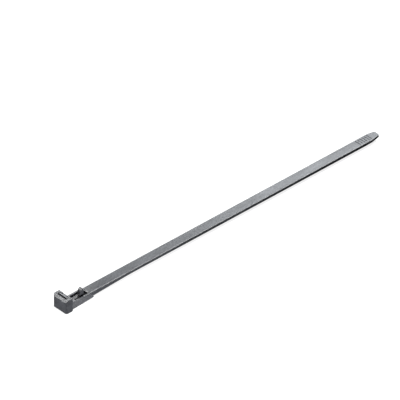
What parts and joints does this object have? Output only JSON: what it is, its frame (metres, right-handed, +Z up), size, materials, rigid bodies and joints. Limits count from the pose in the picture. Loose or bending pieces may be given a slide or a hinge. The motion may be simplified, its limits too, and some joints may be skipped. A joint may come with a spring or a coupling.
{
  "type": "cable tie",
  "caption": "Releasable nylon cable tie lying straight and open: slotted head with pawl, thumb release lever, toothed strap and grooved tip.",
  "frame": {"origin": "middle of the length and width, on the plane of the underside of the head", "axes": "+X along the strap from the head to the tip, +Y across the strap, +Z up, away from the toothed face"},
  "size_m": [0.1896, 0.0088, 0.007],
  "materials": {
    "nylon": "dark grey nylon, satin, moulded"
  },
  "bodies": {
    "root": {"cable_tie": "nylon"}
  },
  "joints": []
}
